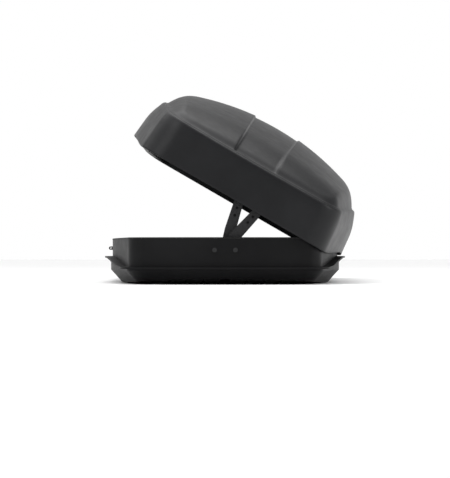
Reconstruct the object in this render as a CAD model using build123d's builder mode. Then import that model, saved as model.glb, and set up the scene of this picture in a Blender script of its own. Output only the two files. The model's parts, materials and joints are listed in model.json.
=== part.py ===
"""Roof cargo box that opens from either side: a ribbed base, a lid hinged on the left or the right, lifters
with two arms at both ends, a lock rail in each side of the lid, and four clamps for the roof bars.

Frame: millimetres, +Z up, the nose points to -Y, origin on the floor plane under the middle of the base.
The lid stands open on its left side, turned about the right hinge line.
"""

import math
import os

from build123d import *

# ---------------------------------------------------------------- driving dimensions
LENGTH = 1950
WIDTH = 890
HEIGHT = 433
WALL = 4
OPEN_ANGLE = 30

HALF_LENGTH = LENGTH / 2
HALF_WIDTH = WIDTH / 2

# heights of the closed box
LID_EDGE_Z = 102
LID_EDGE_NOSE_Z = 64
CREASE_Z = 285
CREASE_NOSE_Z = 203
RIM_TOP_Z = 154
TRAY_KNEE_Z = 46
FLANGE_GAP = 6.5
FLANGE_DEPTH = 6

# insets of the walls from the plan outline
TRAY_INSET = 24
RIM_INSET = 30
TRAY_BOTTOM_TAPER = 42
SKIRT_TAPER = 5.5
SKIRT_BEND_Z = 200
SKIRT_UPPER_TAPER = 22
CANOPY_INSET = 15
CANOPY_BASE_Z = 200
CANOPY_TAPER = 30

# hinge lines and fittings
HINGE_X = 427
HINGE_Z = 125
HINGE_STATIONS = (-240, 170, 570)
PIN_RADIUS = 3
CLEARANCE = 0.05

# lid lifters
LIFTER_PIVOT_Z = 127
GUIDE_Z = 150
ARM_FAN = 13
ARM_ROLLER_RADIUS = 4

# roof bar clamps
CLAMP_X = 300
CLAMP_Y = 350
KNOB_RADIUS = 27

SIDES = {"left": -1, "right": 1}
ENDS = {"front": -1, "rear": 1}

right_hinge = Axis((HINGE_X, 0, HINGE_Z), (0, 1, 0))
os.makedirs("parts", exist_ok=True)


def write(piece, name):
    """Label one finished piece and write it as its own STEP."""
    piece.label = name
    export_step(piece, f"parts/{name}.step")


def write_on_lid(piece, name):
    """Write a piece of the lid, turned with the lid to its open place."""
    write(piece.rotate(right_hinge, OPEN_ANGLE), name)


# ---------------------------------------------------------------- plan outline and side profiles
NOSE_CORNER = (345, -940)
SHOULDER_Y = -460
HIP_Y = 760
TAIL_CORNER = (400, 960)


def plan(inset, z):
    """The box seen from above at height z, moved inwards by inset."""
    with BuildSketch(Plane.XY.offset(z)) as outline:
        with BuildLine():
            nose_x, nose_y = NOSE_CORNER
            tail_x, tail_y = TAIL_CORNER
            ThreePointArc((-nose_x, nose_y), (0, -HALF_LENGTH), (nose_x, nose_y))
            Polyline((nose_x, nose_y), (HALF_WIDTH, SHOULDER_Y), (HALF_WIDTH, HIP_Y), (tail_x, tail_y))
            ThreePointArc((tail_x, tail_y), (0, HALF_LENGTH), (-tail_x, tail_y))
            Polyline((-tail_x, tail_y), (-HALF_WIDTH, HIP_Y), (-HALF_WIDTH, SHOULDER_Y), (-nose_x, nose_y))
        make_face()
        corners = outline.vertices().group_by(Axis.Y)
        fillet(corners[0], 90)
        corners = outline.vertices()
        fillet(corners.filter_by(lambda v: abs(v.Y - SHOULDER_Y) < 1), 1850)
        fillet(outline.vertices().filter_by(lambda v: abs(v.Y - HIP_Y) < 1), 950)
        fillet(outline.vertices().filter_by(lambda v: abs(v.Y - TAIL_CORNER[1]) < 1), 70)
        if inset:
            offset(amount=-inset, kind=Kind.ARC)
    return outline.sketch


def across(profile):
    """A side profile (Y, Z) swept over the whole width."""
    return extrude(profile, amount=WIDTH, both=True, mode=Mode.PRIVATE)


def edge_curve(drop):
    """The lid's lower edge seen from the side: level, then dipping to the nose."""
    z, nose_z = LID_EDGE_Z - drop, LID_EDGE_NOSE_Z - drop
    return Spline(
        (-HALF_LENGTH - 10, nose_z), (-800, nose_z + 6), (-500, z),
        tangents=((1, 0), (1, 0)),
    )


def skirt_band(crease_drop, bottom):
    """The slab between the lid's lower edge and the crease."""
    far = HALF_LENGTH + 10
    with BuildSketch(Plane.YZ) as band:
        with BuildLine():
            low = edge_curve(bottom)
            Line(low @ 1, (far, LID_EDGE_Z - bottom))
            Line((far, LID_EDGE_Z - bottom), (far, CREASE_Z - crease_drop))
            top = Spline(
                (far, CREASE_Z - crease_drop),
                (200, CREASE_Z - crease_drop),
                (-400, CREASE_Z - 20 - crease_drop),
                (-far, CREASE_NOSE_Z - crease_drop),
            )
            Line(top @ 1, low @ 0)
        make_face()
    return across(band.sketch)


# roof stations: y, height on the centre line, fall of the crown at the full width
ROOF_HALF_SPAN = 470
ROOF = (
    (-990, 186, 30), (-870, 256, 50), (-650, 323, 74), (-350, 381, 100),
    (50, 424, 118), (400, HEIGHT, 122), (750, 421, 118), (990, 392, 110),
)


def roof(drop):
    """Everything under the crowned roof, as a loft of arched sections."""
    with BuildPart() as block:
        for y, height, fall in ROOF:
            with BuildSketch(Plane.XZ.offset(-y)):
                with BuildLine():
                    top = height - drop
                    ends = (-ROOF_HALF_SPAN, top - fall), (ROOF_HALF_SPAN, top - fall)
                    ThreePointArc(ends[0], (0, top), ends[1])
                    Polyline(ends[1], (ROOF_HALF_SPAN, 60), (-ROOF_HALF_SPAN, 60), ends[0])
                make_face()
        loft()
    return block.part


BEND_INSET = (SKIRT_BEND_Z - LID_EDGE_NOSE_Z) * math.tan(math.radians(SKIRT_TAPER))


def lid_form(inset, below):
    """The lid as a solid: skirt under the crease, canopy under the roof, with the channel along the top."""
    skirt_outline = plan(inset, LID_EDGE_NOSE_Z)
    upper_outline = plan(inset + BEND_INSET, SKIRT_BEND_Z)
    canopy_outline = plan(CANOPY_INSET + inset, CANOPY_BASE_Z)
    band, crown, groove = skirt_band(inset, below), roof(inset), channel(inset)
    with BuildPart() as canopy:
        extrude(canopy_outline, amount=HEIGHT + 10 - CANOPY_BASE_Z, taper=CANOPY_TAPER)
        extrude(canopy_outline, amount=-30)
        add(crown, mode=Mode.INTERSECT)
        add(groove, mode=Mode.SUBTRACT)
    with BuildPart() as form:
        extrude(skirt_outline, amount=SKIRT_BEND_Z - LID_EDGE_NOSE_Z, taper=SKIRT_TAPER)
        extrude(upper_outline, amount=CREASE_Z - SKIRT_BEND_Z + 10, taper=SKIRT_UPPER_TAPER)
        if below:
            extrude(skirt_outline, amount=-below)
        add(band, mode=Mode.INTERSECT)
        add(canopy.part)
    return form.part


CHANNEL_DEPTH = 7
CHANNEL_NOSE_HALF = 73
CHANNEL_TAIL_HALF = 110


def channel(inset):
    """The shallow channel pressed into the roof, narrower at the nose."""
    lowered = roof(inset + CHANNEL_DEPTH)
    with BuildPart() as groove:
        with BuildSketch(Plane.XY.offset(150)):
            front, back = -HALF_LENGTH - 10, HALF_LENGTH + 10
            with BuildLine():
                Polyline(
                    (-CHANNEL_NOSE_HALF - inset, front), (CHANNEL_NOSE_HALF + inset, front),
                    (CHANNEL_TAIL_HALF + inset, back), (-CHANNEL_TAIL_HALF - inset, back), close=True,
                )
            make_face()
        extrude(amount=HEIGHT)
        add(lowered, mode=Mode.SUBTRACT)
    return groove.part


# ---------------------------------------------------------------- base shell
NOTCH_HALF = 8.5
NOTCH_DEPTH = 14
NOTCHES = (75, 133, 189)


def floor_line(lift):
    """Half of the corrugated underside, from the middle outwards: pads on the floor with notches between."""
    points = [(0, 17 + lift), (15, 17 + lift), (21, lift)]
    for x in NOTCHES:
        points += [(x - NOTCH_HALF, lift), (x - 2, NOTCH_DEPTH + lift), (x + 2, NOTCH_DEPTH + lift),
                   (x + NOTCH_HALF, lift)]
    return points + [(236, lift), (262, 9 + lift), (290, 9 + lift), (372, 2 + lift), (WIDTH, 2 + lift)]


def above_floor(lift):
    """Everything over the corrugated floor."""
    half = floor_line(lift)
    with BuildSketch(Plane.XZ.offset(-HALF_LENGTH)) as section:
        with BuildLine():
            Polyline(*[(-x, z) for x, z in reversed(half)], *half[1:], (WIDTH, HEIGHT), (-WIDTH, HEIGHT),
                     close=True)
        make_face()
    return extrude(section.sketch, amount=LENGTH, mode=Mode.PRIVATE)


def nose_underside(lift):
    """The wedge cut away under the nose, so that the tray rises to its tip."""
    with BuildSketch(Plane.YZ) as wedge:
        with BuildLine():
            Polyline((-HALF_LENGTH, 34 + lift), (-905, 14 + lift), (-790, lift), (-790, -50),
                     (-HALF_LENGTH, -50), close=True)
        make_face()
    return across(wedge.sketch)


def base_form(inset):
    """The base as a solid, walls moved in by inset."""
    tray_outline = plan(TRAY_INSET + inset, TRAY_KNEE_Z)
    rim_outline = plan(RIM_INSET + inset, TRAY_KNEE_Z)
    lid_side, floor, wedge = skirt_lower_limit(inset), above_floor(inset), nose_underside(inset)
    with BuildPart() as form:
        extrude(tray_outline, amount=-TRAY_KNEE_Z, taper=TRAY_BOTTOM_TAPER)
        extrude(tray_outline, amount=CREASE_Z - TRAY_KNEE_Z)
        add(lid_side, mode=Mode.SUBTRACT)
        extrude(rim_outline, amount=RIM_TOP_Z - TRAY_KNEE_Z + inset)
        add(floor, mode=Mode.INTERSECT)
        add(wedge, mode=Mode.SUBTRACT)
    return form.part


def skirt_lower_limit(inset):
    """Everything over the ledge that the lid's lower edge comes down to."""
    far, drop = HALF_LENGTH + 10, FLANGE_GAP + inset
    with BuildSketch(Plane.YZ) as region:
        with BuildLine():
            low = edge_curve(drop)
            Polyline(low @ 1, (far, LID_EDGE_Z - drop), (far, HEIGHT), (-far, HEIGHT), low @ 0)
        make_face()
    return across(region.sketch)


def flange():
    """The ledge round the tray under the lid's edge."""
    far = HALF_LENGTH + 10
    with BuildSketch(Plane.YZ) as strip:
        with BuildLine():
            top = edge_curve(FLANGE_GAP)
            under = edge_curve(FLANGE_GAP + FLANGE_DEPTH)
            Line(top @ 0, under @ 0)
            high = LID_EDGE_Z - FLANGE_GAP
            Polyline(top @ 1, (far, high), (far, high - FLANGE_DEPTH), under @ 1)
        make_face()
    outer, inner, slab = plan(2, TRAY_KNEE_Z), plan(RIM_INSET + WALL, TRAY_KNEE_Z), across(strip.sketch)
    with BuildPart() as ledge:
        extrude(outer, amount=RIM_TOP_Z - TRAY_KNEE_Z)
        extrude(inner, amount=RIM_TOP_Z - TRAY_KNEE_Z, mode=Mode.SUBTRACT)
        add(slab, mode=Mode.INTERSECT)
    return ledge.part


# ---------------------------------------------------------------- places worked out from the dimensions
def wall_x(z):
    """Where the lid's outer side wall is at height z of the closed box, on the straight stretch."""
    return HALF_WIDTH - (z - LID_EDGE_NOSE_Z) * math.tan(math.radians(SKIRT_TAPER))


WALL_ACROSS = WALL / math.cos(math.radians(SKIRT_TAPER))
RIM_X = HALF_WIDTH - RIM_INSET
BOLT_TRAVEL = 15
SLIDER_Y = 15
LOCK_Z = 186
KEY_Y = 55
HOUSING_SPAN = (-40, 85)
SLOT_SPAN = (SLIDER_Y - 6 - BOLT_TRAVEL, SLIDER_Y + 6)


def box(x, y, z):
    """A block between two corners, each given as a (low, high) pair, kept out of any open builder."""
    size = [max(pair) - min(pair) for pair in (x, y, z)]
    low = [min(pair) for pair in (x, y, z)]
    return Pos(*low) * Box(*size, align=(Align.MIN,) * 3, mode=Mode.PRIVATE)


def bar(radius, start, end):
    """A round bar between two points, kept out of any open builder."""
    axis = Vector(*end) - Vector(*start)
    rod = Cylinder(radius, axis.length, align=(Align.CENTER, Align.CENTER, Align.MIN), mode=Mode.PRIVATE)
    return Plane(start, z_dir=axis) * rod


def lengthways(radius, place, y0, y1):
    """A round bar along Y at place, given as (x, z)."""
    return bar(radius, (place[0], y0, place[1]), (place[0], y1, place[1]))


def sketch_xz(points, y0, y1):
    """A polygon given in X and Z, extruded from y0 to y1."""
    with BuildSketch(Plane.XZ.offset(-y0)) as outline:
        with BuildLine():
            Polyline(*points, close=True)
        make_face()
    return extrude(outline.sketch, amount=y0 - y1, mode=Mode.PRIVATE)


def grouped(solids):
    """Several separate solids as one node."""
    return Compound(children=list(solids))


# ---------------------------------------------------------------- base shell, seal and floor rails
CLAMP_PLACES = [(sx * CLAMP_X, sy * CLAMP_Y) for sx in SIDES.values() for sy in ENDS.values()]
BRACKET_SCREW_X = 35
BRACKET_SCREW_Z = 116
POCKET = (25, 65)
RAIL_Z = (14, 18)
BASE_SCREW_RADIUS = 3

outer_base, inner_base, ledge = base_form(0), base_form(WALL), flange()
pocket_cuts = [box((x - POCKET[0], x + POCKET[0]), (y - POCKET[1], y + POCKET[1]), (-5, 30))
               for x, y in CLAMP_PLACES]
screw_holes = [lengthways(BASE_SCREW_RADIUS + 0.1, (x, BRACKET_SCREW_Z), -HALF_LENGTH, HALF_LENGTH)
               for x in (-BRACKET_SCREW_X, BRACKET_SCREW_X)]
with BuildPart() as base_shell:
    add(outer_base)
    add(ledge)
    add(inner_base, mode=Mode.SUBTRACT)
    add(pocket_cuts, mode=Mode.SUBTRACT)
    add(screw_holes, mode=Mode.SUBTRACT)
write(base_shell.part, "base_shell")

seal_outer, seal_inner = plan(RIM_INSET - 1, RIM_TOP_Z), plan(RIM_INSET + WALL + 1, RIM_TOP_Z)
with BuildPart() as rim_seal:
    extrude(seal_outer, amount=5)
    extrude(seal_inner, amount=5, mode=Mode.SUBTRACT)
    fillet(rim_seal.edges().group_by(Axis.Z)[-1], 1.5)
write(rim_seal.part, "rim_seal")

RAIL_HALF_WIDTH = 34
for side, s in SIDES.items():
    lips = [box((s * CLAMP_X + e * (RAIL_HALF_WIDTH - 3), s * CLAMP_X + e * RAIL_HALF_WIDTH), (-640, 640),
                (RAIL_Z[1], RAIL_Z[1] + 6)) for e in (-1, 1)]
    with BuildPart() as floor_rail:
        add(box((s * CLAMP_X - RAIL_HALF_WIDTH, s * CLAMP_X + RAIL_HALF_WIDTH), (-640, 640), RAIL_Z))
        add(lips)
        add(pocket_cuts, mode=Mode.SUBTRACT)
    write(floor_rail.part, f"floor_rail_{side}")

# ---------------------------------------------------------------- roof bar clamps
HOUSING_HALF = (28.5, 68.5)
HOUSING_TOP = 80
FLANGE_HALF_Y = 86
CLAMP_SCREWS = (18, 78)
SPINDLE_RADIUS = 5

housings, clamp_screws = [], []
for cx, cy in CLAMP_PLACES:
    hx, hy = HOUSING_HALF
    screw_places = [(cx + ex * CLAMP_SCREWS[0], cy + ey * CLAMP_SCREWS[1])
                    for ex in (-1, 1) for ey in (-1, 1)]
    with BuildPart() as housing:
        add(box((cx - hx, cx + hx), (cy - FLANGE_HALF_Y, cy + FLANGE_HALF_Y), (RAIL_Z[1], RAIL_Z[1] + 3)))
        add(box((cx - hx, cx + hx), (cy - hy, cy + hy), (RAIL_Z[1], HOUSING_TOP)))
        fillet(housing.edges().filter_by(Axis.Z), 6)
        fillet(housing.edges().group_by(Axis.Z)[-1], 4)
        add(box((cx - POCKET[0], cx + POCKET[0]), (cy - POCKET[1], cy + POCKET[1]), (0, HOUSING_TOP - 4)),
            mode=Mode.SUBTRACT)
        add(bar(SPINDLE_RADIUS + CLEARANCE, (cx, cy, 0), (cx, cy, HEIGHT)), mode=Mode.SUBTRACT)
        for x, y in screw_places:
            add(bar(2.5, (x, y, 10), (x, y, 30)), mode=Mode.SUBTRACT)
    housings.append(housing.part)
    for x, y in screw_places:
        clamp_screws.append(bar(2.4, (x, y, RAIL_Z[1]), (x, y, RAIL_Z[1] + 3)) +
                            bar(4.5, (x, y, RAIL_Z[1] + 3), (x, y, RAIL_Z[1] + 5.5)))
write(grouped(housings), "clamp_housings")
write(grouped(clamp_screws), "clamp_screws")

for end, sy in ENDS.items():
    for side, sx in SIDES.items():
        cx, cy = sx * CLAMP_X, sy * CLAMP_Y
        knob_z = HOUSING_TOP + 0.4
        with BuildPart() as knob:
            add(bar(KNOB_RADIUS, (cx, cy, knob_z), (cx, cy, knob_z + 20)))
            with BuildSketch(Plane.XY.offset(knob_z)):
                with Locations((cx, cy)):
                    with PolarLocations(KNOB_RADIUS + 3, 8):
                        Circle(7)
            extrude(amount=20, mode=Mode.SUBTRACT)
            fillet(knob.edges().group_by(Axis.Z)[-1], 2)
            add(bar(SPINDLE_RADIUS, (cx, cy, 8), (cx, cy, knob_z)))
        write(knob.part, f"clamp_knob_{end}_{side}")
        with BuildPart() as jaws:
            add(box((cx - 16, cx + 16), (cy - 60, cy + 60), (44, 56)))
            for e in (-1, 1):
                add(box((cx - 16, cx + 16), (cy + e * 50, cy + e * 60), (4, 56)))
                add(box((cx - 16, cx + 16), (cy + e * 34, cy + e * 60), (4, 12)))
            fillet(jaws.edges().filter_by(Axis.X).group_by(Axis.Z)[-1], 4)
            add(bar(SPINDLE_RADIUS + CLEARANCE, (cx, cy, 0), (cx, cy, 80)), mode=Mode.SUBTRACT)
        write(jaws.part, f"clamp_jaws_{end}_{side}")

# ---------------------------------------------------------------- hinge cradles on the rim
CRADLE_RADIUS = 6.5
CRADLE_BACK = 18
CRADLE_FRONT = 18
EAR_START = 4
RIVET_Z = 143
rivets = []
for side, s in SIDES.items():
    cradles = []
    for y0 in HINGE_STATIONS:
        with BuildPart() as cradle:
            with BuildSketch(Plane.XZ.offset(-(y0 - CRADLE_FRONT))):
                with Locations((s * HINGE_X, HINGE_Z)):
                    Circle(CRADLE_RADIUS)
                with Locations((s * (RIM_X + HINGE_X) / 2, HINGE_Z)):
                    Rectangle(HINGE_X - RIM_X, 2 * CRADLE_RADIUS)
                with Locations((s * HINGE_X, HINGE_Z)):
                    Circle(PIN_RADIUS + CLEARANCE, mode=Mode.SUBTRACT)
            extrude(amount=-(CRADLE_FRONT + CRADLE_BACK))
            mouth = PIN_RADIUS + CLEARANCE
            add(box((s * HINGE_X - mouth, s * HINGE_X + mouth), (y0 - CRADLE_FRONT, y0 + EAR_START),
                    (HINGE_Z, HINGE_Z + 10)), mode=Mode.SUBTRACT)
            add(box((s * RIM_X, s * (RIM_X + 2.5)), (y0 - CRADLE_FRONT, y0 + CRADLE_BACK), (107, 151)))
        cradles.append(cradle.part)
        for dy in (-10, 10):
            rivets.append(bar(4, (s * (RIM_X + 2.5), y0 + dy, RIVET_Z), (s * (RIM_X + 4), y0 + dy, RIVET_Z)))
    write(grouped(cradles), f"hinge_cradles_{side}")
write(grouped(rivets), "cradle_rivets")

# ---------------------------------------------------------------- lid shell
slot_cuts, key_holes = [], []
for s in SIDES.values():
    slot_cuts.append(box((s * (HINGE_X - 12), s * (HALF_WIDTH + 5)), SLOT_SPAN, (LOCK_Z - 4, LOCK_Z + 4)))
    key_holes.append(bar(8.1, (s * (HINGE_X - 12), KEY_Y, LOCK_Z), (s * (HALF_WIDTH + 5), KEY_Y, LOCK_Z)))
outer_lid, inner_lid = lid_form(0, 0), lid_form(WALL, 20)
with BuildPart() as lid_shell:
    add(outer_lid)
    add(inner_lid, mode=Mode.SUBTRACT)
    add(slot_cuts, mode=Mode.SUBTRACT)
    add(key_holes, mode=Mode.SUBTRACT)
write_on_lid(lid_shell.part, "lid_shell")

STIFFENER_YS = (-200, 420)
shallow, deep = roof(WALL + CHANNEL_DEPTH + 0.3), roof(WALL + CHANNEL_DEPTH + 8)
stiffeners = []
for y in STIFFENER_YS:
    with BuildPart() as stiffener:
        add(box((-250, 250), (y - 22, y + 22), (250, HEIGHT)))
        add(shallow, mode=Mode.INTERSECT)
        add(deep, mode=Mode.SUBTRACT)
    stiffeners.append(stiffener.part)
write_on_lid(grouped(stiffeners), "lid_stiffeners")

# ---------------------------------------------------------------- side rails, lugs, pins and lock rails
SIDE_RAIL_SPAN = (-262, 596)
SIDE_RAIL_Z = (150, 196)
RAIL_SHEET = 3
LUG_FRONT = (-28, -19.5)
PIN_SPAN = (-31, 3)
BOLT_TIP = 21
FINGER_SPAN = (36, 40)
LOCK_BAR_Z = (176, 190)
LOCK_BAR_X = (418.5, 421.5)


def on_hinge(radius, s, y0, y1):
    """A round bar lying on one side's hinge line."""
    return lengthways(radius, (s * HINGE_X, HINGE_Z), y0, y1)


def rail_x(z, depth):
    """X on the side rail at height z, measured inwards from the lid's inner wall."""
    return wall_x(z) - WALL_ACROSS - 0.2 - depth


for side, s in SIDES.items():
    low, high = SIDE_RAIL_Z
    profile = [(s * rail_x(low, 0), low), (s * rail_x(high, 0), high), (s * rail_x(high, RAIL_SHEET), high),
               (s * rail_x(low, RAIL_SHEET), low)]
    rail_body = sketch_xz(profile, *SIDE_RAIL_SPAN)
    with BuildPart() as side_rail:
        add(rail_body)
        add(slot_cuts, mode=Mode.SUBTRACT)
        add(key_holes, mode=Mode.SUBTRACT)
    write_on_lid(side_rail.part, f"lid_side_rail_{side}")

    lugs, pins = [], []
    for y0 in HINGE_STATIONS:
        y_low, y_high = y0 + LUG_FRONT[0], y0 + LUG_FRONT[1]
        web = sketch_xz([(s * 419, HINGE_Z - 2), (s * 419, 172), (s * rail_x(172, RAIL_SHEET + 0.1), 172),
                         (s * rail_x(150, RAIL_SHEET + 0.1), 150), (s * 431, 143), (s * 431, HINGE_Z)],
                        y_low, y_high)
        with BuildPart() as lug:
            add(web)
            add(on_hinge(6, s, y_low, y_high))
            add(on_hinge(PIN_RADIUS + CLEARANCE, s, y_low - 1, y_high + 1), mode=Mode.SUBTRACT)
        lugs.append(lug.part)
        head_y = y0 + PIN_SPAN[0]
        pins.append(on_hinge(PIN_RADIUS, s, head_y, y0 + PIN_SPAN[1]) + on_hinge(4.5, s, head_y - 2, head_y))
    write_on_lid(grouped(lugs), f"hinge_lugs_{side}")
    write_on_lid(grouped(pins), f"hinge_pins_{side}")

    with BuildPart() as lock_rail:
        add(box([s * x for x in LOCK_BAR_X], (HINGE_STATIONS[0], HINGE_STATIONS[-1] + FINGER_SPAN[1]),
                LOCK_BAR_Z))
        for y0 in HINGE_STATIONS:
            y_low, y_high = y0 + FINGER_SPAN[0], y0 + FINGER_SPAN[1]
            finger = sketch_xz([(s * LOCK_BAR_X[0], HINGE_Z - 2), (s * LOCK_BAR_X[0], LOCK_BAR_Z[1]),
                                (s * LOCK_BAR_X[1], LOCK_BAR_Z[1]), (s * LOCK_BAR_X[1], 155), (s * 430, 140),
                                (s * 430, HINGE_Z)], y_low, y_high)
            add(finger)
            add(on_hinge(6, s, y_low, y_high))
            add(on_hinge(PIN_RADIUS, s, y0 + BOLT_TIP, y_low))
    write_on_lid(lock_rail.part, f"lock_rail_{side}")

    # outer lock: housing plate, sliding handle and key cylinder
    low, high = LOCK_Z - 18, LOCK_Z + 18
    plate = sketch_xz([(s * (wall_x(low) + 0.1), low), (s * (wall_x(high) + 0.1), high),
                       (s * (wall_x(high) + 3.6), high - 3), (s * (wall_x(low) + 3.6), low + 3)],
                      *HOUSING_SPAN)
    with BuildPart() as lock_housing:
        add(plate)
        add(slot_cuts, mode=Mode.SUBTRACT)
        add(key_holes, mode=Mode.SUBTRACT)
    write_on_lid(lock_housing.part, f"lock_housing_{side}")
    grip_low, grip_high = LOCK_Z - 10, LOCK_Z + 10
    grip = sketch_xz([(s * (wall_x(grip_low) + 3.9), grip_low), (s * (wall_x(grip_high) + 3.9), grip_high),
                      (s * (wall_x(grip_high) + 9), grip_high - 3),
                      (s * (wall_x(grip_low) + 9), grip_low + 3)], SLIDER_Y - 17, SLIDER_Y + 17)
    with BuildPart() as lock_slider:
        add(grip)
        add(box((s * LOCK_BAR_X[1], s * (wall_x(LOCK_Z) + 5)), (SLIDER_Y - 5, SLIDER_Y + 5),
                (LOCK_Z - 3.5, LOCK_Z + 3.5)))
    write_on_lid(lock_slider.part, f"lock_slider_{side}")
    face_x = wall_x(LOCK_Z) + 5.5
    with BuildPart() as key_cylinder:
        add(bar(8, (s * 424.5, KEY_Y, LOCK_Z), (s * face_x, KEY_Y, LOCK_Z)))
        add(box((s * (face_x - 4), s * (face_x + 1)), (KEY_Y - 1, KEY_Y + 1), (LOCK_Z - 4.5, LOCK_Z + 4.5)),
            mode=Mode.SUBTRACT)
    write_on_lid(key_cylinder.part, f"key_cylinder_{side}")

# ---------------------------------------------------------------- lid lifters at both ends
GUIDE_YS = (892, 898)
GUIDE_TOP_Z = 198
GUIDE_REACH = {"front": 944, "rear": 953}
BRACKET_Y = (912, 915)
RIM_INNER_Y = 940
PIVOT_RADIUS = 5
HUB_BOSS_RADIUS = 8
ARM_YS = {"right": (906.5, 909.5), "left": (880.5, 883.5)}
ARM_HOLES = ((112, 0), (138, 0))
HUB_RADIUS = 30
HUB_BOSS_YS = {"right": (905.4, 910.6), "left": (879.4, 884.6)}
HUB_DISC_YS = {"right": (899.2, 905.4), "left": (884.6, 890.8)}
ROLLER_YS = {"right": (895.3, 906.5), "left": (883.5, 894.7)}

# the guide's distance from the pivot, square to the open lid, sets the arm's length
open_rad = math.radians(OPEN_ANGLE)
pivot_rise = (LIFTER_PIVOT_Z - HINGE_Z) * math.cos(open_rad)
guide_distance = GUIDE_Z - HINGE_Z + HINGE_X * math.sin(open_rad) - pivot_rise
ARM_LENGTH = guide_distance / math.cos(math.radians(ARM_FAN))
CLOSED_LEAN = 90 - math.degrees(math.asin((GUIDE_Z - LIFTER_PIVOT_Z) / ARM_LENGTH))
OPEN_LEAN = {"right": OPEN_ANGLE + ARM_FAN, "left": OPEN_ANGLE - ARM_FAN}


def lifter_arm(y_pair, roller_pair, lean, e):
    """One arm, pointing lean degrees to the right of upright, with its roller pin at the tip."""
    near, far = (e * y for y in y_pair)
    along = math.sin(math.radians(lean)), 0, math.cos(math.radians(lean))
    plane = Plane(origin=(0, near, LIFTER_PIVOT_Z), x_dir=along, z_dir=(0, e, 0))
    tip = plane.from_local_coords(Vector(ARM_LENGTH, 0, 0))
    with BuildPart() as arm:
        with BuildSketch(plane):
            with BuildLine():
                Polyline((0, 15), (60, 19), (ARM_LENGTH - 40, 15), (ARM_LENGTH, 9), (ARM_LENGTH, -9),
                         (ARM_LENGTH - 40, -15), (60, -19), (0, -15), close=True)
            make_face()
            Circle(15)
            with Locations((ARM_LENGTH, 0)):
                Circle(9)
            with Locations((0, 0)):
                Circle(HUB_BOSS_RADIUS + CLEARANCE, mode=Mode.SUBTRACT)
            with Locations(*ARM_HOLES):
                Circle(4.5, mode=Mode.SUBTRACT)
        extrude(amount=abs(far - near))
        add(bar(ARM_ROLLER_RADIUS, (tip.X, e * roller_pair[0], tip.Z), (tip.X, e * roller_pair[1], tip.Z)))
    return arm.part


for end, e in ENDS.items():
    with BuildPart() as bracket:
        add(box((-62, 62), (e * BRACKET_Y[0], e * BRACKET_Y[1]), (106, 148)))
        fillet(bracket.edges().filter_by(Axis.Y), 10)
        for x in (-BRACKET_SCREW_X, BRACKET_SCREW_X):
            place = (x, BRACKET_SCREW_Z)
            add(lengthways(9, place, e * BRACKET_Y[1], e * RIM_INNER_Y))
            add(lengthways(BASE_SCREW_RADIUS + 0.1, place, e * (BRACKET_Y[0] - 1), e * (RIM_INNER_Y + 1)),
                mode=Mode.SUBTRACT)
    write(bracket.part, f"{end}_lifter_bracket")

    centre = (0, LIFTER_PIVOT_Z)
    pivot = lengthways(PIVOT_RADIUS, centre, e * 876, e * BRACKET_Y[0])
    cap = lengthways(9, centre, e * 873.5, e * 876)
    write(pivot + cap, f"{end}_lifter_pivot")

    screws = []
    for x in (-BRACKET_SCREW_X, BRACKET_SCREW_X):
        shank = lengthways(BASE_SCREW_RADIUS, (x, BRACKET_SCREW_Z), e * BRACKET_Y[0], e * 945.4)
        screws.append(shank + lengthways(8, (x, BRACKET_SCREW_Z), e * 945.4, e * 948.2))
    write(grouped(screws), f"{end}_bracket_screws")

    for side in SIDES:
        write(lifter_arm(ARM_YS[side], ROLLER_YS[side], OPEN_LEAN[side], e), f"{end}_lifter_arm_{side}")
        boss, disc = HUB_BOSS_YS[side], HUB_DISC_YS[side]
        hub = (lengthways(HUB_BOSS_RADIUS, centre, e * boss[0], e * boss[1])
               + lengthways(HUB_RADIUS, centre, e * disc[0], e * disc[1])
               - lengthways(PIVOT_RADIUS + CLEARANCE, centre, e * 870, e * 920))
        write(hub, f"{end}_arm_hub_{side}")

    with BuildPart() as guide:
        add(box((-262, 262), (e * GUIDE_YS[0], e * GUIDE_YS[1]), (GUIDE_Z, GUIDE_TOP_Z)))
        add(box((-252, 252), (e * GUIDE_YS[0], e * GUIDE_YS[1]), (GUIDE_Z, 184)), mode=Mode.SUBTRACT)
        for s in SIDES.values():
            add(box((s * 195, s * 215), (e * GUIDE_YS[0], e * GUIDE_REACH[end]), (187, 196)))
    write_on_lid(guide.part, f"{end}_lifter_guide")
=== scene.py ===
"""Roof cargo box with its lid standing open on one side.

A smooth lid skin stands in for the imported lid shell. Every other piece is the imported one. The skin is
worked out with the lid shut, in millimetres, and then turned about the right hinge line. The nose points
to -Y.
"""
import json
import math

import bmesh
import bpy
import numpy as np
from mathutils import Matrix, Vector


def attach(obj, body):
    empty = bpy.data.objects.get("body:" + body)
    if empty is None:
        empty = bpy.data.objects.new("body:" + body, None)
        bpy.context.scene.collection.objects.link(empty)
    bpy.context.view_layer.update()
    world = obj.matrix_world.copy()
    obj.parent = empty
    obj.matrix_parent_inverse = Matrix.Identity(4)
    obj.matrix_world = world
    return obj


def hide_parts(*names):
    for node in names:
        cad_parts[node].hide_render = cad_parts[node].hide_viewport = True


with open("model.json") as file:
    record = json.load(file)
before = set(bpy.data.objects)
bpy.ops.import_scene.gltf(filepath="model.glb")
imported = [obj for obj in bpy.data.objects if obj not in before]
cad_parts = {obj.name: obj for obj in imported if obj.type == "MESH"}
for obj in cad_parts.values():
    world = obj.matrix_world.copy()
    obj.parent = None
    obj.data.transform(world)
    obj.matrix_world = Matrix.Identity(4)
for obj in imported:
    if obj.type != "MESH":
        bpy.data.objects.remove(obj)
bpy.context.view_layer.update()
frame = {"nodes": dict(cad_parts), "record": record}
nodes = frame["nodes"]

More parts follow.
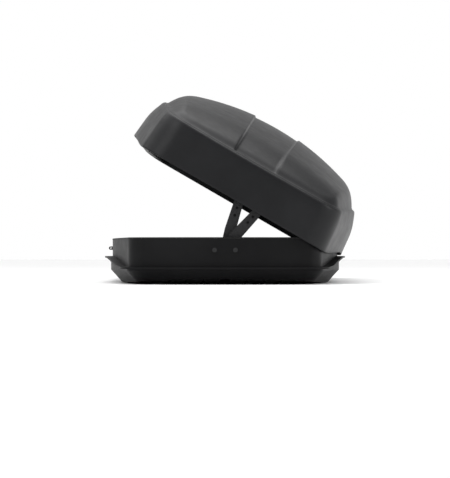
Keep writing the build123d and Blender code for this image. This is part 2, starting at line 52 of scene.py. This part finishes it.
# ---------------------------------------------------------------- driving dimensions
# Bends, heights, leans and the roof's stations are the model's. Reaches, radii, runs and growths are
# chosen to follow its fillets and splines closely, and the roundings are the skin's own.
OPEN_ANGLE = math.radians(30)
HINGE_X, HINGE_Z = 427.0, 125.0
HALF_LENGTH = 975

# bends of the plan: x and y on the right side
SHOULDER = (445.0, -460.0)
HIP = (445.0, 760.0)
NOSE_CORNER = (345.0, -940.0)
TAIL_CORNER = (400.0, 960.0)
NOSE_SLOPE = (SHOULDER[0] - NOSE_CORNER[0]) / (SHOULDER[1] - NOSE_CORNER[1])
TAIL_SLOPE = (HIP[0] - TAIL_CORNER[0]) / (TAIL_CORNER[1] - HIP[1])
SHOULDER_REACH = 191
HIP_REACH = 111

# the arched ends: how far they bow out, the y where the bow begins, and the length over which it grows
NOSE_BOW, NOSE_BOW_START, NOSE_BOW_RUN = 35, -500, 440
TAIL_BOW, TAIL_BOW_START, TAIL_BOW_RUN = 15, 620, 340
BOW_GROWTH = 1.5

# corner radii, which shrink as the outline is set inwards
NOSE_RADIUS, NOSE_RADIUS_LOSS = 90, 0.45
TAIL_RADIUS, TAIL_RADIUS_LOSS = 72, 0.25
LEAST_RADIUS = 48

# heights of the lower edge, which rises from the nose, and of the crease, which falls to it
LID_EDGE_Z, LID_EDGE_NOSE_Z = 102.0, 64.0
EDGE_RISE_START, EDGE_RISE_RUN, EDGE_RISE_GROWTH = -985, 485, 1.35
CREASE_Z, CREASE_NOSE_Z = 285.0, 203.0
CREASE_FALL_START, CREASE_FALL_RUN, CREASE_FALL_GROWTH = 200, 1185, 2.07

# leans of the walls
SKIRT_LEAN = math.tan(math.radians(5.5))
SKIRT_UPPER_LEAN = math.tan(math.radians(22))
SKIRT_BEND_Z, SKIRT_BEND_HALF = 200.0, 30
CANOPY_LEAN = math.tan(math.radians(30))
CANOPY_INSET, CANOPY_NOSE_INSET, CANOPY_BASE_Z = 15, 12, 200

# the crowned roof: stations along y, height on the centre line, fall at the full width
ROOF_Y = np.array([-990, -870, -650, -350, 50, 400, 750, 990.0])
ROOF_TOP = np.array([186, 256, 323, 381, 424, 433, 421, 392.0])
ROOF_FALL = np.array([30, 50, 74, 100, 118, 122, 118, 110.0])
ROOF_HALF_SPAN = 470

# the channel along the roof's middle: half its width at the nose, and what that gains to the tail
CHANNEL_NOSE_HALF, CHANNEL_GROWTH = 73, 37
CHANNEL_DEPTH = CHANNEL_WALL = 7

# roundings and blends where two surfaces meet
ROOF_BLEND = 34
CREASE_BLEND = 8
CHANNEL_FADE = 70
EDGE_ROUNDING = 1.6
EDGE_MIDWAY_INSET, EDGE_MIDWAY_Z = 0.5, 0.4
CREASE_ROUNDING, CREASE_SHELF = 10, 8

# slots in the skirt for the lock's handle and key: y and z
SKIRT_SLOTS = (((-6, 21), (182, 190)), ((47, 63), (178, 194)))
SLOT_LEAST_X = 400

# ---------------------------------------------------------------- columns and rows of the mesh
CHANNEL_COLUMNS = 10
WALL_COLUMNS = 3
FRONT_COLUMNS = 34
CORNER_COLUMNS = 14
SIDE_COLUMNS = 120
HALF_RING = FRONT_COLUMNS + CORNER_COLUMNS + SIDE_COLUMNS + CORNER_COLUMNS + FRONT_COLUMNS + 1
FULL_RING = 2 * HALF_RING - 2
SKIRT_ROWS = 24
CREASE_ROWS = 7
CANOPY_ROWS = 46
# inset of the cap's border, and one so far in that the canopy's side is above the roof
CAP_INSET = 170.0
WELL_INSIDE = 600.0


def smooth(t):
    t = np.clip(t, 0, 1)
    return t * t * (3 - 2 * t)


def soft_min(a, b, k):
    """The smaller of a and b, rounded where they are within k of each other."""
    h = np.clip(0.5 + 0.5 * (b - a) / k, 0, 1)
    return b * (1 - h) + a * h - k * h * (1 - h)


def soft_max(a, b, k):
    return -soft_min(-a, -b, k)


def spline(xs, ys):
    """Natural cubic spline through the points."""
    n = len(xs)
    h = np.diff(xs)
    a = np.zeros((n, n))
    r = np.zeros(n)
    a[0, 0] = a[-1, -1] = 1
    for i in range(1, n - 1):
        a[i, i - 1:i + 2] = h[i - 1], 2 * (h[i - 1] + h[i]), h[i]
        r[i] = 3 * ((ys[i + 1] - ys[i]) / h[i] - (ys[i] - ys[i - 1]) / h[i - 1])
    c = np.linalg.solve(a, r)
    b = np.diff(ys) / h - h * (2 * c[:-1] + c[1:]) / 3
    d = np.diff(c) / (3 * h)

    def at(x):
        i = np.clip(np.searchsorted(xs, x) - 1, 0, n - 2)
        t = x - xs[i]
        return ys[i] + t * (b[i] + t * (c[i] + t * d[i]))

    return at


roof_top = spline(ROOF_Y, ROOF_TOP)
roof_fall = spline(ROOF_Y, ROOF_FALL)


# ---------------------------------------------------------------- curves and surfaces of the shut lid
def half_width(y):
    """Half of the plan's width at y, with its bends rounded."""
    start, end = SHOULDER[1] - SHOULDER_REACH, SHOULDER[1] + SHOULDER_REACH
    t = np.clip(end - y, 0, end - start)
    w = SHOULDER[0] - NOSE_SLOPE * t * t / (2 * (end - start)) - NOSE_SLOPE * np.clip(start - y, 0, None)
    start, end = HIP[1] - HIP_REACH, HIP[1] + HIP_REACH
    t = np.clip(y - start, 0, end - start)
    return w - TAIL_SLOPE * t * t / (2 * (end - start)) - TAIL_SLOPE * np.clip(y - end, 0, None)


def bowed(x, y):
    """y with the arched ends added: most on the centre line, nothing at the corners."""
    nose = np.clip((NOSE_BOW_START - y) / NOSE_BOW_RUN, 0, 1) ** BOW_GROWTH
    tail = np.clip((y - TAIL_BOW_START) / TAIL_BOW_RUN, 0, 1) ** BOW_GROWTH
    nose_arch = 1 - np.clip(np.abs(x) / NOSE_CORNER[0], 0, 1) ** 2
    tail_arch = 1 - np.clip(np.abs(x) / TAIL_CORNER[0], 0, 1) ** 2
    return y - NOSE_BOW * nose * nose_arch + TAIL_BOW * tail * tail_arch


def edge_z(y):
    t = np.clip((y - EDGE_RISE_START) / EDGE_RISE_RUN, 0, 1)
    return LID_EDGE_NOSE_Z + (LID_EDGE_Z - LID_EDGE_NOSE_Z) * smooth(t ** EDGE_RISE_GROWTH)


def crease_z(y):
    fall = (np.clip(CREASE_FALL_START - y, 0, None) / CREASE_FALL_RUN) ** CREASE_FALL_GROWTH
    return CREASE_Z - (CREASE_Z - CREASE_NOSE_Z) * fall


def skirt_inset(z):
    """How far the lid's wall is inside the plan at height z: nearly upright, then leaning in more."""
    u, half = z - SKIRT_BEND_Z, SKIRT_BEND_HALF
    bend = np.where(u < -half, 0, np.where(u > half, u, (u + half) ** 2 / (4 * half)))
    return (z - LID_EDGE_NOSE_Z) * SKIRT_LEAN + (SKIRT_UPPER_LEAN - SKIRT_LEAN) * bend


def channel_half(y):
    return CHANNEL_NOSE_HALF + (y + HALF_LENGTH) * CHANNEL_GROWTH / (2 * HALF_LENGTH)


def channel_cut(x, y):
    """How far the channel lowers the roof: its full depth inside, nothing outside its sloping walls."""
    return CHANNEL_DEPTH * smooth((channel_half(y) + CHANNEL_WALL - np.abs(x)) / CHANNEL_WALL)


def roof_z(x, y):
    """The crowned roof: an arc across the lid at every y."""
    top, fall = roof_top(y), roof_fall(y)
    r = (ROOF_HALF_SPAN ** 2 + fall ** 2) / (2 * fall)
    return top - (r - np.sqrt(r * r - np.minimum(np.abs(x), ROOF_HALF_SPAN) ** 2))


def canopy_z(x, y, inset):
    """The canopy's leaning side at this inset, or the roof where that is lower, but never below the crease."""
    nose = np.clip((NOSE_BOW_START - y) / NOSE_BOW_RUN, 0, 1)
    side = CANOPY_BASE_Z + (inset - CANOPY_INSET - CANOPY_NOSE_INSET * nose) / CANOPY_LEAN
    roof = roof_z(x, y)
    z = soft_min(side, roof, ROOF_BLEND)
    on_roof = smooth((side - roof + CHANNEL_FADE) / CHANNEL_FADE)
    return soft_max(crease_z(y) + 0 * z, z - channel_cut(x, y) * on_roof, CREASE_BLEND)


# ---------------------------------------------------------------- the plan as rows of points
def end_columns(k, y, x_end):
    """x of the columns of one end: across the channel, over its wall, then out to the corner at x_end."""
    channel = channel_half(y)
    top = channel + CHANNEL_WALL
    beyond = CHANNEL_COLUMNS + WALL_COLUMNS
    inner = channel * (k / CHANNEL_COLUMNS)
    wall = channel + CHANNEL_WALL * (k - CHANNEL_COLUMNS) / WALL_COLUMNS
    outer = top + (x_end - channel - CHANNEL_WALL) * (k - beyond) / (FRONT_COLUMNS - beyond)
    return np.where(k <= CHANNEL_COLUMNS, inner, np.where(k <= beyond, wall, outer))


def perimeter(inset):
    """Right half of the plan from the nose's middle to the tail's, set inwards: x and y.

    inset is a number or one value per point.
    """
    inset = np.broadcast_to(np.asarray(inset, float), (HALF_RING,))
    x, y = np.zeros(HALF_RING), np.zeros(HALF_RING)
    nose_turn, tail_turn = math.atan(NOSE_SLOPE), math.atan(TAIL_SLOPE)
    nose_r = np.maximum(NOSE_RADIUS - NOSE_RADIUS_LOSS * inset, LEAST_RADIUS)
    tail_r = np.maximum(TAIL_RADIUS - TAIL_RADIUS_LOSS * inset, LEAST_RADIUS)
    y_front, y_rear = NOSE_CORNER[1] + inset, TAIL_CORNER[1] - inset
    nose_cy, tail_cy = y_front + nose_r, y_rear - tail_r
    nose_stretch, tail_stretch = math.hypot(1, NOSE_SLOPE), math.hypot(1, TAIL_SLOPE)
    nose_cx = NOSE_CORNER[0] + NOSE_SLOPE * (nose_cy - NOSE_CORNER[1]) - (inset + nose_r) * nose_stretch
    tail_cx = TAIL_CORNER[0] + TAIL_SLOPE * (TAIL_CORNER[1] - tail_cy) - (inset + tail_r) * tail_stretch

    i = np.arange(HALF_RING)
    side_start = FRONT_COLUMNS + CORNER_COLUMNS
    side_end = side_start + SIDE_COLUMNS
    tail_end = side_end + CORNER_COLUMNS

    # the nose, from its middle outwards
    part = i < FRONT_COLUMNS
    x[part] = end_columns(i[part].astype(float), y_front[part], nose_cx[part])
    y[part] = y_front[part]

    # its corner
    part = (i >= FRONT_COLUMNS) & (i < side_start)
    turn = -math.pi / 2 + (i - FRONT_COLUMNS) / CORNER_COLUMNS * (math.pi / 2 - nose_turn)
    x[part] = (nose_cx + nose_r * np.cos(turn))[part]
    y[part] = (nose_cy + nose_r * np.sin(turn))[part]

    # the side
    part = (i >= side_start) & (i < side_end)
    y0 = nose_cy - nose_r * math.sin(nose_turn)
    y1 = tail_cy + tail_r * math.sin(tail_turn)
    along = y0 + (y1 - y0) * ((i - side_start) / SIDE_COLUMNS)
    slope = (half_width(along + 1) - half_width(along - 1)) / 2
    x[part] = (half_width(along) - inset * np.sqrt(1 + slope * slope))[part]
    y[part] = along[part]

    # the tail's corner
    part = (i >= side_end) & (i < tail_end)
    turn = tail_turn + (i - side_end) / CORNER_COLUMNS * (math.pi / 2 - tail_turn)
    x[part] = (tail_cx + tail_r * np.cos(turn))[part]
    y[part] = (tail_cy + tail_r * np.sin(turn))[part]

    # the tail, back to its middle
    part = i >= tail_end
    from_middle = (HALF_RING - 1 - i).astype(float)
    x[part] = end_columns(from_middle[part], y_rear[part], tail_cx[part])
    y[part] = y_rear[part]
    return x, bowed(x, y)


def ring(x, y, z):
    """Closed ring of points from its right half, starting at the nose's middle, anticlockwise from above."""
    right = np.stack([x, y, z], 1)
    return np.concatenate([right, right[1:-1][::-1] * np.array([-1, 1, 1])])


# ---------------------------------------------------------------- lid skin
def skirt_and_canopy_rings():
    """Rings from the lid's lower edge up the skirt, over the crease and up to the edge of the cap."""
    y0 = perimeter(0)[1]
    low, top = edge_z(y0), crease_z(y0)
    below_crease = top - CREASE_ROUNDING
    above_edge = low + EDGE_ROUNDING

    # a small rounded lower edge, then the wall
    rows = [(skirt_inset(low) + EDGE_ROUNDING, low),
            (skirt_inset(low) + EDGE_MIDWAY_INSET, low + EDGE_MIDWAY_Z)]
    for k in range(SKIRT_ROWS + 1):
        z = above_edge + (below_crease - above_edge) * k / SKIRT_ROWS
        rows.append((skirt_inset(z), z))
    # the crease, rounded onto a narrow shelf
    under, corner = skirt_inset(below_crease), skirt_inset(top)
    shelf = corner + CREASE_SHELF
    for k in range(1, CREASE_ROWS + 1):
        t = k / CREASE_ROWS
        rows.append(((1 - t) ** 2 * under + 2 * t * (1 - t) * corner + t * t * shelf,
                     (1 - t) ** 2 * below_crease + (1 - (1 - t) ** 2) * top))
    rings = [ring(*perimeter(inset), z) for inset, z in rows]

    for k in range(1, CANOPY_ROWS + 1):
        inset = shelf + (CAP_INSET - shelf) * (k / CANOPY_ROWS)
        x, y = perimeter(inset)
        rings.append(ring(x, y, canopy_z(x, y, inset)))
    return rings


def cap(edge, first):
    """The top inside the last ring: new points and faces of a grid whose border is that ring.

    edge holds the ring's points, and first is the index of the ring's first point in the mesh.
    """
    half_columns = FRONT_COLUMNS + CORNER_COLUMNS // 2
    grid_rows = SIDE_COLUMNS + CORNER_COLUMNS
    grid = {}

    def ring_index(column, row):
        """The ring's point at this place of the grid's border, or None inside it."""
        if row == 0:
            i = abs(column)
        elif row == grid_rows:
            i = HALF_RING - 1 - abs(column)
        elif abs(column) == half_columns:
            i = half_columns + row
        else:
            return None
        on_centre_line = i in (0, HALF_RING - 1)
        return first + (i if column >= 0 or on_centre_line else FULL_RING - i)

    for column in range(-half_columns, half_columns + 1):
        for row in range(grid_rows + 1):
            index = ring_index(column, row)
            if index is not None:
                grid[column, row] = index

    front_x, front_y = edge[:half_columns + 1, 0], edge[:half_columns + 1, 1]
    rear = [HALF_RING - 1 - k for k in range(half_columns + 1)]
    rear_x, rear_y = edge[rear, 0], edge[rear, 1]
    side_x, side_y = edge[half_columns:, 0], edge[half_columns:, 1]
    k = np.arange(half_columns + 1)
    beyond = CHANNEL_COLUMNS + WALL_COLUMNS
    weight = smooth(np.maximum(0, k - beyond) / (half_columns - beyond))
    points = []
    for row in range(1, grid_rows):
        t = (side_y[row] - side_y[0]) / (side_y[grid_rows] - side_y[0])
        x = front_x + (rear_x - front_x) * t
        y = front_y + (rear_y - front_y) * t
        x, y = x + weight * (side_x[row] - x[-1]), y + weight * (side_y[row] - y[-1])
        channel = channel_half(y)
        wall = channel + CHANNEL_WALL * (k - CHANNEL_COLUMNS) / WALL_COLUMNS
        x = np.where(k <= CHANNEL_COLUMNS, channel * k / CHANNEL_COLUMNS, np.where(k <= beyond, wall, x))
        z = canopy_z(x, y, WELL_INSIDE)
        for column in range(half_columns):
            for side in ((1, -1) if column else (1,)):
                grid[side * column, row] = first + FULL_RING + len(points)
                points.append((side * x[column] if column else 0.0, y[column], z[column]))
    faces = [(grid[c, r], grid[c + 1, r], grid[c + 1, r + 1], grid[c, r + 1])
             for c in range(-half_columns, half_columns) for r in range(grid_rows)]
    return points, faces


def build_lid():
    """Points of the shut lid and its faces."""
    rings = skirt_and_canopy_rings()
    faces = []
    for k in range(len(rings) - 1):
        a, b = k * FULL_RING, (k + 1) * FULL_RING
        for i in range(FULL_RING):
            j = (i + 1) % FULL_RING
            faces.append((a + i, a + j, b + j, b + i))
    cap_points, cap_faces = cap(rings[-1], (len(rings) - 1) * FULL_RING)
    return np.concatenate(rings + [np.array(cap_points)]), faces + cap_faces


def outside_slots(points, faces):
    """The faces that are not in a slot of the skirt."""
    x, y, z = np.array([points[list(f)].mean(0) for f in faces]).T
    kept = np.ones(len(faces), bool)
    for (y0, y1), (z0, z1) in SKIRT_SLOTS:
        kept &= ~((np.abs(x) > SLOT_LEAST_X) & (y > y0) & (y < y1) & (z > z0) & (z < z1))
    return [f for f, k in zip(faces, kept) if k]


def on_open_lid(points):
    """Shut-lid points in millimetres turned about the right hinge line, in metres."""
    x, y, z = points.T
    dx, dz = x - HINGE_X, z - HINGE_Z
    c, s = math.cos(OPEN_ANGLE), math.sin(OPEN_ANGLE)
    return np.stack([HINGE_X + dx * c + dz * s, y, HINGE_Z - dx * s + dz * c], 1) / 1000


def make_object(name, points, faces):
    mesh = bpy.data.meshes.new(name)
    mesh.from_pydata([tuple(p) for p in points], [], faces)
    mesh.update()
    bm = bmesh.new()
    bm.from_mesh(mesh)
    bmesh.ops.recalc_face_normals(bm, faces=bm.faces)
    bm.to_mesh(mesh)
    bm.free()
    for polygon in mesh.polygons:
        polygon.use_smooth = True
    obj = bpy.data.objects.new(name, mesh)
    bpy.context.scene.collection.objects.link(obj)
    return obj


lid_points, lid_faces = build_lid()
lid = make_object("lid_skin", on_open_lid(lid_points), outside_slots(lid_points, lid_faces))
wall = lid.modifiers.new("wall", "SOLIDIFY")
wall.thickness = 0.004
wall.offset = -1
wall.use_even_offset = True
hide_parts("lid_shell")
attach(lid, "lid")


# ---------------------------------------------------------------- materials
CLOUD_SCALE, CLOUD_DETAIL = 9.0, 5.0
WEAR_SCALE, WEAR_DETAIL = 26.0, 6.0
PEEL_SCALE = 60.0
BRUSH_STRETCH = (30.0, 0.6, 30.0)
ROUGHNESS_SPAN = 0.08
PEEL_HEIGHT, GRAIN_HEIGHT = 0.0004, 0.0003


def noise(tree, scale, vector, detail=None):
    node = tree.nodes.new("ShaderNodeTexNoise")
    node.inputs["Scale"].default_value = scale
    if detail is not None:
        node.inputs["Detail"].default_value = detail
    tree.links.new(vector, node.inputs["Vector"])
    return node


def bump(tree, height, strength, distance, under=None):
    """A bump node, on top of the one that is under it. Returns its normal."""
    node = tree.nodes.new("ShaderNodeBump")
    node.inputs["Strength"].default_value = strength
    node.inputs["Distance"].default_value = distance
    tree.links.new(height, node.inputs["Height"])
    if under:
        tree.links.new(under, node.inputs["Normal"])
    return node.outputs["Normal"]


def material(name, color, rough, metallic=0.0, grain=0.0, grain_scale=900.0, mottling=0.08,
             orange_peel=0.0, brushed=False, specular=0.5):
    """A procedural finish: colour mottling, roughness variation, fine grain and long-wave ripple."""
    finish = bpy.data.materials.new(name)
    finish.use_nodes = True
    tree = finish.node_tree
    tree.nodes.clear()
    out = tree.nodes.new("ShaderNodeOutputMaterial")
    surface = tree.nodes.new("ShaderNodeBsdfPrincipled")
    tree.links.new(surface.outputs["BSDF"], out.inputs["Surface"])
    surface.inputs["Metallic"].default_value = metallic
    surface.inputs["Specular IOR Level"].default_value = specular
    place = tree.nodes.new("ShaderNodeTexCoord").outputs["Object"]

    cloud = noise(tree, CLOUD_SCALE, place, CLOUD_DETAIL)
    ramp = tree.nodes.new("ShaderNodeValToRGB")
    for stop, position, level in zip(ramp.color_ramp.elements, (0.3, 0.7), (1 - mottling, 1 + mottling)):
        stop.position = position
        stop.color = tuple(c * level for c in color) + (1,)
    tree.links.new(cloud.outputs["Fac"], ramp.inputs["Fac"])
    tree.links.new(ramp.outputs["Color"], surface.inputs["Base Color"])

    along = place
    if brushed:
        stretch = tree.nodes.new("ShaderNodeMapping")
        stretch.inputs["Scale"].default_value = BRUSH_STRETCH
        tree.links.new(place, stretch.inputs["Vector"])
        along = stretch.outputs["Vector"]
    wear = noise(tree, WEAR_SCALE, along, WEAR_DETAIL)
    span = tree.nodes.new("ShaderNodeMapRange")
    span.inputs["To Min"].default_value = rough - ROUGHNESS_SPAN
    span.inputs["To Max"].default_value = rough + ROUGHNESS_SPAN
    tree.links.new(wear.outputs["Fac"], span.inputs["Value"])
    tree.links.new(span.outputs["Result"], surface.inputs["Roughness"])

    normal = None
    if orange_peel:
        normal = bump(tree, noise(tree, PEEL_SCALE, place).outputs["Fac"], orange_peel, PEEL_HEIGHT)
    if grain:
        cells = tree.nodes.new("ShaderNodeTexVoronoi")
        cells.inputs["Scale"].default_value = grain_scale
        tree.links.new(place, cells.inputs["Vector"])
        normal = bump(tree, cells.outputs["Distance"], grain, GRAIN_HEIGHT, under=normal)
    if normal:
        tree.links.new(normal, surface.inputs["Normal"])
    return finish


FINISH = {
    "lid_plastic": material("lid_finish", (0.0105, 0.0107, 0.0116), 0.4, grain=0.12, grain_scale=700,
                            orange_peel=0.2, mottling=0.14, specular=0.15),
    "base_plastic": material("base_finish", (0.0065, 0.0065, 0.007), 0.48, grain=0.3, grain_scale=520,
                             mottling=0.18, specular=0.1),
    "seal_rubber": material("seal_finish", (0.009, 0.009, 0.009), 0.62, grain=0.15, mottling=0.2,
                            specular=0.2),
    "knob_plastic": material("knob_finish", (0.025, 0.025, 0.027), 0.5, grain=0.4, grain_scale=700,
                             specular=0.35),
    "trim_plastic": material("trim_finish", (0.008, 0.008, 0.009), 0.4, grain=0.2, grain_scale=800,
                             specular=0.3),
    "bright_steel": material("bright_steel_finish", (0.5, 0.5, 0.51), 0.3, metallic=1.0, brushed=True,
                             orange_peel=0.1),
    "black_steel": material("black_steel_finish", (0.012, 0.012, 0.013), 0.44, grain=0.25, grain_scale=400,
                            orange_peel=0.35, specular=0.3),
    "plated_steel": material("plated_steel_finish", (0.32, 0.32, 0.33), 0.38, metallic=1.0, brushed=True),
    "rail_aluminium": material("rail_finish", (0.4, 0.4, 0.41), 0.4, metallic=1.0, brushed=True),
    "rib_plastic": material("rib_finish", (0.014, 0.014, 0.015), 0.55, grain=0.3, specular=0.25),
}
slot_of = {s["node"]: s["material_slot"] for s in frame["record"]["subparts"]}
for name, obj in nodes.items():
    finish = FINISH[slot_of[name]]
    if not obj.material_slots:
        obj.data.materials.append(finish)
    for s in obj.material_slots:
        s.material = finish
lid.data.materials.append(FINISH["lid_plastic"])

# ---------------------------------------------------------------- floor and background
bpy.ops.mesh.primitive_plane_add(size=60, location=(0, 0, 0))
floor = bpy.context.object
floor.name = "studio_floor"
floor_finish = bpy.data.materials.new("studio_floor")
floor_finish.use_nodes = True
floor_surface = floor_finish.node_tree.nodes["Principled BSDF"]
floor_surface.inputs["Base Color"].default_value = (0.9, 0.9, 0.9, 1)
floor_surface.inputs["Roughness"].default_value = 0.75
floor.data.materials.append(floor_finish)

# white near the horizon, behind the box, and darker higher up
world = bpy.data.worlds.new("studio")
bpy.context.scene.world = world
world.use_nodes = True
world_tree = world.node_tree
direction = world_tree.nodes.new("ShaderNodeTexCoord")
split = world_tree.nodes.new("ShaderNodeSeparateXYZ")
fade = world_tree.nodes.new("ShaderNodeValToRGB")
for stop, grey in ((0.0, 1.0), (0.18, 1.0), (0.42, 0.2), (1.0, 0.4)):
    stops = fade.color_ramp.elements
    element = stops.new(stop) if 0 < stop < 1 else stops[-1 if stop else 0]
    element.color = (grey, grey, grey, 1)
world_tree.links.new(direction.outputs["Generated"], split.inputs["Vector"])
world_tree.links.new(split.outputs["Z"], fade.inputs["Fac"])
world_tree.links.new(fade.outputs["Color"], world_tree.nodes["Background"].inputs["Color"])
world_tree.nodes["Background"].inputs["Strength"].default_value = 1.0
bpy.context.scene.view_settings.view_transform = "Standard"


# ---------------------------------------------------------------- lights and camera
def area(name, location, target, size, power):
    data = bpy.data.lights.new(name, "AREA")
    data.shape = "RECTANGLE"
    data.size, data.size_y = size
    data.energy = power
    obj = bpy.data.objects.new(name, data)
    obj.location = location
    obj.rotation_euler = (Vector(target) - Vector(location)).to_track_quat("-Z", "Y").to_euler()
    bpy.context.scene.collection.objects.link(obj)


BOX_MIDDLE = (0, 0, 0.3)
area("key", (-2.4, -3.4, 3.4), BOX_MIDDLE, (2.6, 2.6), 80)
sky_light = bpy.data.lights.new("sky", "SUN")
sky_light.energy = 2.2
sky_light.angle = 1.6
sky = bpy.data.objects.new("sky", sky_light)
sky.rotation_euler = (math.radians(-12), math.radians(-10), 0)
bpy.context.scene.collection.objects.link(sky)
area("top", (0.4, 0.6, 4.4), BOX_MIDDLE, (4.0, 4.5), 70)
area("side", (3.8, -1.8, 1.8), BOX_MIDDLE, (1.6, 2.4), 60)

camera_data = bpy.data.cameras.new("camera")
camera = bpy.data.objects.new("camera", camera_data)
bpy.context.scene.collection.objects.link(camera)
bpy.context.scene.camera = camera
camera.location = (0, -6.975, 0.100)
camera.rotation_euler = (math.radians(90), 0, 0)
camera_data.sensor_width = 36
camera_data.sensor_fit = "AUTO"
camera_data.lens = 135.5
camera_data.shift_y = 0.033
camera_data.clip_end = 100
